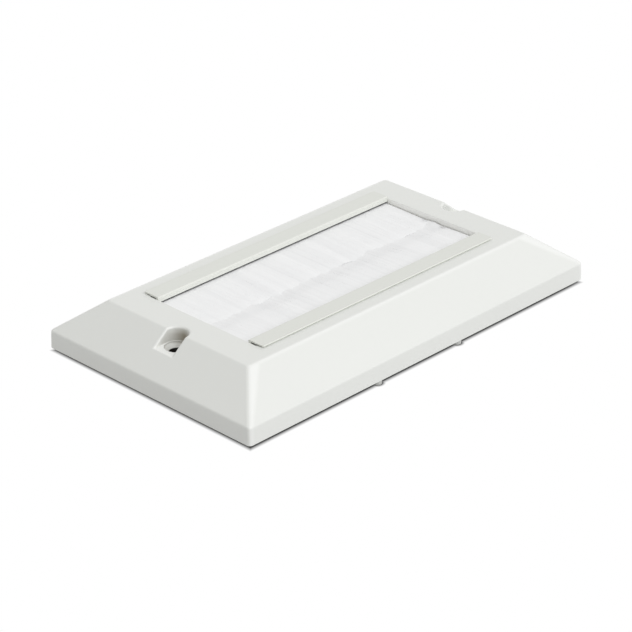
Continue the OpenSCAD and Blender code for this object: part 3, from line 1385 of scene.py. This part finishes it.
@dataclass
class BristleBank:
    """One bank of filaments: a dense mat, with loose filaments on it, under it and past its tips."""

    side: Side
    front: float
    shape: BankShape
    mouth_x: float
    end_y: float
    # The bell by which the bank rises towards its tips at the window's far end.
    end_rise: float = 0.6
    end_x: float = 1.0
    bell_x: float = 1.9
    bell_y: float = 1.5
    # The band beside the other bank's tips in which a painted shadow of those tips lowers the tone.
    tip_shadow_x: float = 3.0
    tip_shadow_w: float = 2.0
    root_x: float = 16.9
    tip_x: float = -1.2
    half_l: float = 39.72
    filament_r: float = 0.05
    flatness: float = 0.4
    lift: float = -0.008
    taper: Tuple[float, float] = (0.7, 0.25)
    last_ring: float = 0.994
    crowding: float = 1.6
    most_freedom: float = 1.1
    mat_step: float = 0.11
    mat_across: int = 22
    mat_sharp_degrees: float = 60.0
    end_flat: float = 0.01
    layers: Tuple[Layer, ...] = (
        Layer(count=1500, top=0.0, low=0.03, past=0.4),
        Layer(count=700, top=0.97, low=1.02, past=0.4),
        Layer(count=900, top=0.0, low=1.0, past=1.0))
    rings: int = 9
    # How far the waves and each filament's own stray move it, and how much they change its tone.
    lean_by: float = 0.8
    reach_by: float = 0.45
    lift_by: float = 0.07
    ripple_by: float = 0.018
    stray_by: float = 0.4
    bow_by: float = 0.006
    shortest_past: float = -0.3
    middle_tone: float = 0.6
    tone_by: float = 0.2
    own_tone_by: float = 0.16

    def __post_init__(self) -> None:
        """Draws the bank's waves once, so that the mat and its filaments share them."""
        self.rng = np.random.default_rng(self.shape.seed)
        self.lean_waves = Waves(self.rng, count=9, shortest=4.0, longest=40.0)
        self.reach_waves = Waves(self.rng, count=8, shortest=3.0, longest=30.0)
        self.lift_waves = Waves(self.rng, count=8, shortest=3.0, longest=25.0)
        self.ripple_waves = Waves(self.rng, count=16, shortest=0.5, longest=4.0)
        self.tone_waves = Waves(self.rng, count=14, shortest=0.9, longest=12.0)

    def spread(self, count: int) -> np.ndarray:
        """Shares of the way from root to tip, closer together towards the tip.

        They are last_ring times (1 - u to the power of the crowding), with u from 1 down to 0, and then 1.
        """
        even = np.linspace(1.0, 0.0, count - 1)
        return np.append(self.last_ring - self.last_ring * even ** self.crowding, 1.0)

    def freedom(self, x: np.ndarray) -> np.ndarray:
        """How free filaments are at a distance from the middle: 0 in the holder's mouth, 1 at the tips."""
        return np.clip((self.mouth_x - x) / (self.mouth_x - self.tip_x), 0.0, self.most_freedom)

    def depths(self, x: np.ndarray, y: np.ndarray) -> Tuple[np.ndarray, np.ndarray]:
        """Depths of the bank's upper and lower surface below the front.

        Both follow the section's straight stretches. The upper one also rises and falls with the lift wave
        and the ripples, and at the far end of the window it rises towards the tips as a bell in x and y.

        Args:
            x: Distances from the window's middle towards the bank's holder.
            y: Places along the plate.

        Returns:
            The two depths.
        """
        top = np.interp(x, self.shape.across, self.shape.top)
        low = np.interp(x, self.shape.across, self.shape.low)
        lift = self.lift_by * self.lift_waves.at(y) * self.freedom(x)
        lift = lift + self.ripple_by * self.ripple_waves.at(y)
        off_x = (x - self.end_x * self.side.value) / self.bell_x
        off_y = (y - self.end_y) / self.bell_y
        rise = self.end_rise * np.exp(-off_y ** 2 - off_x ** 2)
        return top - lift - rise, low - rise

    def placed(self, x: np.ndarray, y: np.ndarray, depth: np.ndarray) -> np.ndarray:
        """Points in the frame from distances, places along the plate and depths."""
        return np.stack([x * self.side.value, np.broadcast_to(y, x.shape), self.front - depth], axis=-1)

    def leaning(self, y: np.ndarray, x: np.ndarray) -> np.ndarray:
        """Place of a filament rooted at y, at x: y plus the lean wave times its freedom squared."""
        return y + self.lean_by * self.lean_waves.at(y) * self.freedom(x) ** 2

    def reach(self, y: np.ndarray) -> np.ndarray:
        """Distance from the middle at which the filaments rooted at y end."""
        return self.tip_x + self.reach_by * self.reach_waves.at(y)

    def tone(self, y: np.ndarray) -> np.ndarray:
        """Tone of the filaments rooted at y, from 0 to 1."""
        return self.middle_tone + self.tone_by * self.tone_waves.at(y)

    def tip_shadow(self, x: np.ndarray) -> np.ndarray:
        """Painted shadow of the other bank's tips: how much the tone falls at a distance from the middle, a
        bell beside those tips.
        """
        return self.shape.tip_shadow * np.exp(-((x - self.tip_shadow_x) / self.tip_shadow_w) ** 2)

    def mat(self, material: bpy.types.Material) -> bpy.types.Object:
        """Carries the bank's section along the plate: out over the top to the tips, and back underneath.

        Args:
            material: The filaments' finish.

        Returns:
            The mat.
        """
        stations = np.arange(-self.half_l, self.half_l + self.mat_step / 2, self.mat_step)[:, None]
        x = self.root_x + (self.reach(stations[:, 0])[:, None] - self.root_x) * self.spread(self.mat_across)
        y = np.clip(self.leaning(stations, x), -self.half_l, self.half_l)
        y = np.where(np.abs(stations) > self.half_l - self.end_flat, stations, y)
        top, low = self.depths(x, y)
        skin = prism(np.concatenate([self.placed(x, y, top), self.placed(x, y, low)[:, ::-1]], axis=1))
        if self.side is Side.LEFT:
            skin = skin.turned()
        made = skin.build(f"bristle_mat_{self.side.word}")
        made.data.shade_smooth()
        made.data.set_sharp_from_angle(angle=math.radians(self.mat_sharp_degrees))
        # The tone falls by the painted shadow of the other bank's tips.
        tone = self.tone(stations[:, 0])[:, None] - self.tip_shadow(x)
        self.give_tone(made, np.concatenate([tone, tone[:, ::-1]], axis=1))
        finish_piece(made, material, [f"bristles_{self.side.word}"])
        return made

    def strands(self, layer: Layer) -> Tuple[np.ndarray, np.ndarray]:
        """Middle lines of loose filaments.

        A filament at layer h follows (1 - h) times the upper surface plus h times the lower one. It bows
        off that line by a sine of its own along its free length.

        Args:
            layer: Their number, their range of h, and how far they reach past the mat's tips at most.

        Returns:
            Array of filaments x rings x 3, and a tone for each filament.
        """
        rng, count = self.rng, layer.count
        place = (np.arange(count) + rng.uniform(0.0, 1.0, count)) / count
        root = (place * 2 - 1) * self.half_l
        h = rng.uniform(layer.top, layer.low, count)[:, None]
        reach = self.reach(root) - rng.uniform(self.shortest_past, 1.0, count) * layer.past
        x = self.root_x + (reach[:, None] - self.root_x) * self.spread(self.rings)
        free = self.freedom(x)
        y = self.leaning(root[:, None], x) + rng.normal(0.0, self.stray_by, count)[:, None] * free ** 2
        y = np.clip(y, -self.half_l, self.half_l)
        top, low = self.depths(x, y)
        bow = rng.normal(0.0, self.bow_by, count)[:, None] * np.sin(free * math.pi)
        depth = (top - self.lift) * (1 - h) + low * h + bow
        tone = self.tone(root) + rng.normal(0.0, self.own_tone_by, count)
        return self.placed(x, y, depth), np.clip(tone, 0.0, 1.0)

    def filaments(self, material: bpy.types.Material) -> bpy.types.Object:
        """Carries a three-sided section along every middle line. The section's corners lie on a circle.

        Args:
            material: The filaments' finish.

        Returns:
            All the loose filaments as one piece.
        """
        drawn = [self.strands(layer) for layer in self.layers]
        paths = np.concatenate([paths for paths, _ in drawn])
        tone = np.concatenate([tone for _, tone in drawn])
        count, rings = paths.shape[:2]
        turn = np.arange(3) * 2 * math.pi / 3 + math.pi / 2
        around = np.stack([np.zeros(3), np.cos(turn), self.flatness * np.sin(turn)], axis=-1)
        around *= self.filament_r
        width = np.ones(rings)
        width[-2:] = self.taper
        points = paths[:, :, None, :] + around[None, None, :, :] * width[None, :, None, None]
        per = rings * 3
        starts = (np.arange(count) * per)[:, None, None]
        quads = (grid_quads(rings, 3)[None, :, :] + starts).reshape(-1, 4)
        ends = np.array([[2, 1, 0], [per - 3, per - 2, per - 1]])
        skin = Skin(points.reshape(-1, 3), quads, (ends[None, :, :] + starts).reshape(-1, 3).tolist())
        if self.side is Side.RIGHT:
            skin = skin.turned()
        made = skin.build(f"bristle_filaments_{self.side.word}")
        made.data.shade_smooth()
        # The tone falls by the painted shadow of the other bank's tips.
        shaded = tone[:, None] - self.tip_shadow(paths[:, :, 0] * self.side.value)
        self.give_tone(made, np.repeat(np.clip(shaded, 0.0, 1.0), 3))
        finish_piece(made, material)
        return made

    @staticmethod
    def give_tone(made: bpy.types.Object, tone: np.ndarray) -> None:
        """Stores a tone at every point of a mesh, for its material."""
        attribute = made.data.attributes.new(TONE, "FLOAT", "POINT")
        attribute.data.foreach_set("value", tone.astype(np.float32).ravel())

    def build(self, material: bpy.types.Material) -> None:
        """Builds the mat and its loose filaments."""
        self.mat(material)
        self.filaments(material)


@dataclass
class BrushPlate:
    """The whole object: its sizes in the frame, and each sub-assembly in order."""

    base: float
    front: float
    half_w: float
    half_l: float

    def build(self, nodes: Dict[str, bpy.types.Object]) -> None:
        """Builds every new piece and dresses the CAD nodes that stay.

        Args:
            nodes: The CAD nodes by name.
        """
        plate = Faceplate(base=self.base, half_w=self.half_w, half_l=self.half_l)
        plate.build(MouldedPlastic(form=plate.form()).build())
        extruded = ExtrudedPlastic().build()
        holders = [Holder(side=side, front=self.front, window=plate.window) for side in Side]
        for holder in holders:
            holder.build(extruded)
        mouth_x = holders[0].mouth_x
        nylon = Nylon(mouth_x=mouth_x).build()
        for side, shape in ((Side.LEFT, UPPER_BANK), (Side.RIGHT, LOWER_BANK)):
            BristleBank(side=side, front=self.front, shape=shape, mouth_x=mouth_x,
                        end_y=plate.window.half_l).build(nylon)
        steels = {"backing": ZincSheet().build(), "wire": DrawnWire().build()}
        for name, node in nodes.items():
            steel = steels.get(name.split("_")[0])
            if steel:
                paint(node, steel)
                LOG.info("%s: dressed", name)


# The studio


@dataclass
class Studio:
    """Pale floor, soft light and the camera of the photograph."""

    camera_at: Tuple[float, float, float] = (391.92, -390.31, 285.97)
    azimuth: float = 45.275
    elevation: float = 27.248
    roll: float = -0.890
    lens: float = 142.85
    sensor: float = 36.0
    picture_px: int = 632
    shift_px: Tuple[float, float] = (-0.45, 0.5)
    clip_m: Tuple[float, float] = (0.01, 20.0)
    sun_from: Tuple[float, float, float] = (0.71, 0.10, 0.69)
    sun_strength: float = 1.36
    sun_degrees: float = 50.0
    sun_colour: Colour = (0.985, 0.995, 1.02)
    sky_strength: float = 0.60
    sky_colour: Colour = (1.0, 1.0, 0.985)
    panel_at: Tuple[float, float, float] = (420.0, 240.0, 100.0)
    panel_size: float = 220.0
    panel_watts: float = 0.07
    floor_half: float = 3000.0
    white: Colour = (1.0, 1.0, 1.0)
    paper: Colour = (0.6, 0.6, 0.6)
    # Painted shadow: the floor's dark colour under and next to the object.
    under: Colour = (0.2, 0.2, 0.2)
    # The shadow, real shade on the floor's painted dark colour, falls this far to the back left, and shows
    # from shadow_in over shadow_out.
    cast: Tuple[float, float] = (-1.9, 1.9)
    cast_in: float = 1.3
    shadow_in: float = 0.52
    shadow_out: float = 1.25
    peg_shadow_in: float = 0.1
    peg_shadow_out: float = 0.85
    peg_at: Tuple[float, float] = (31.95, 14.0)

    def camera(self) -> None:
        """Places the camera by its azimuth, elevation and roll.

        Back is the unit vector from the object to the camera. Right is level, up is back x right, and both
        are then turned about back by the roll.
        """
        azimuth, elevation, roll = (math.radians(v) for v in (self.azimuth, self.elevation, self.roll))
        back = np.array([math.sin(azimuth) * math.cos(elevation),
                         -math.cos(azimuth) * math.cos(elevation), math.sin(elevation)])
        right = np.array([math.cos(azimuth), math.sin(azimuth), 0.0])
        up = np.cross(back, right)
        across = right * math.cos(roll) + up * math.sin(roll)
        upward = up * math.cos(roll) - right * math.sin(roll)
        data = bpy.data.cameras.new("camera")
        data.lens = self.lens
        data.sensor_width = self.sensor
        data.shift_x, data.shift_y = (shift / self.picture_px for shift in self.shift_px)
        data.clip_start, data.clip_end = self.clip_m
        bpy.context.scene.camera = self.stand(data, (across, upward, back), self.camera_at)

    def lights(self) -> None:
        """One broad soft sun from the right, a small panel beside it, and a plain sky for the rest."""
        sun = bpy.data.lights.new("key", "SUN")
        sun.energy = self.sun_strength
        sun.angle = math.radians(self.sun_degrees)
        panel = bpy.data.lights.new("side_panel", "AREA")
        panel.size = self.panel_size * MM
        panel.energy = self.panel_watts
        for data, at in ((sun, self.sun_from), (panel, self.panel_at)):
            data.color = self.sun_colour
            self.aim(data, at)
        world = bpy.data.worlds.new("studio")
        world.use_nodes = True
        bpy.context.scene.world = world
        graph = Graph(world.node_tree)
        seen = self.seen_straight(graph)
        sky = graph.add("Background", None, {
            "Color": graph.blend(self.sky_colour, self.white, seen),
            "Strength": seen + (1.0 - seen) * self.sky_strength})
        graph.add("OutputWorld", None, {"Surface": sky.outputs[0]})

    def aim(self, data: bpy.types.Light, at: Sequence[float]) -> None:
        """Places a lamp so that it shines at the origin: its z axis is the unit vector from there to it.

        Args:
            data: The lamp.
            at: Its place in millimetres.
        """
        way = np.array(at) / np.linalg.norm(at)
        side = np.cross([0.0, 0.0, 1.0], way)
        side /= np.linalg.norm(side)
        self.stand(data, (side, np.cross(way, side), way), at)

    @staticmethod
    def stand(data: Union[bpy.types.Light, bpy.types.Camera], axes: Sequence[np.ndarray],
              at: Sequence[float]) -> bpy.types.Object:
        """Puts a lamp or a camera into the scene.

        Args:
            data: The lamp or camera.
            axes: Its own x, y and z axes as unit vectors. It looks along -z.
            at: Its place in millimetres.

        Returns:
            The linked object.
        """
        matrix = np.eye(4)
        matrix[:3, :3] = np.column_stack(axes)
        matrix[:3, 3] = np.array(at) * MM
        made = bpy.data.objects.new(data.name, data)
        bpy.context.scene.collection.objects.link(made)
        made.matrix_world = Matrix(matrix.tolist())
        return made

    @staticmethod
    def seen_straight(graph: Graph) -> Term:
        """1 for a ray from the camera, a mirror or glass, and 0 for one that lights something."""
        path = graph.add("LightPath")
        return (graph.term(path, "Is Camera Ray") + graph.term(path, "Is Glossy Ray")
                + graph.term(path, "Is Transmission Ray")).clamped()

    def floor(self, half_w: float, half_l: float) -> None:
        """White floor that shows the object's shadow close to its outline, deepened there by a painted
        shadow in its colour, and pure white further out.

        The shadow falls to the back left, so it is measured from the object's plan moved by the cast. The
        distance outside that plan is the larger of |x| - half width and |y| - half length.

        Args:
            half_w: Half the object's width.
            half_l: Half the object's length.
        """
        material, graph = Graph.of_material("floor")
        x, y, _ = graph.coordinates()
        outside = (abs(x - self.cast[0]) - half_w).at_least(abs(y - self.cast[1]) - half_l) + self.cast_in
        from_x, from_y = abs(x) - self.peg_at[0], abs(y) - self.peg_at[1]
        off_peg = (from_x * from_x + from_y * from_y).root() - Faceplate.peg_r
        white_out = outside.rising(self.shadow_in, self.shadow_out)
        fade = white_out.at_most(off_peg.rising(self.peg_shadow_in, self.peg_shadow_out))
        # Painted shadow: dark floor colour near and under the object, the plain paper further out.
        tone = graph.blend(self.under, self.paper, outside.rising(self.shadow_in + self.shadow_out, 1.0))
        paper = graph.add("BsdfDiffuse", None, {"Color": tone})
        white = graph.add("Emission", None, {"Color": (*self.white, 1.0), "Strength": 1.0})
        mix = graph.add("MixShader", None, {
            0: fade * self.seen_straight(graph), 1: paper.outputs[0], 2: white.outputs[0]})
        graph.add("OutputMaterial", None, {"Surface": mix.outputs[0]})
        corners = np.array([[-1.0, -1.0], [1.0, -1.0], [1.0, 1.0], [-1.0, 1.0]]) * self.floor_half
        made = Skin(at_height(corners, 0.0), np.array([[0, 1, 2, 3]]), []).build("floor")
        paint(made, material)
        made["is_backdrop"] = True

    def build(self, half_w: float, half_l: float) -> None:
        """Sets up the camera, the lights and the floor under an object of this half width and length."""
        self.camera()
        self.lights()
        self.floor(half_w, half_l)


def main() -> None:
    """Loads the frame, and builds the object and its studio."""
    logging.basicConfig(level=logging.INFO, format="%(message)s")
    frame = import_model()
    low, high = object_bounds()
    half_w, half_l = high.x / MM, high.y / MM
    plate = BrushPlate(base=low.z / MM + Faceplate.peg_h, front=high.z / MM - Holder.flange_t,
                       half_w=half_w, half_l=half_l)
    plate.build(frame["nodes"])
    Studio().build(half_w, half_l)
    bpy.context.scene.view_settings.view_transform = "Standard"


if __name__ == "__main__":
    main()
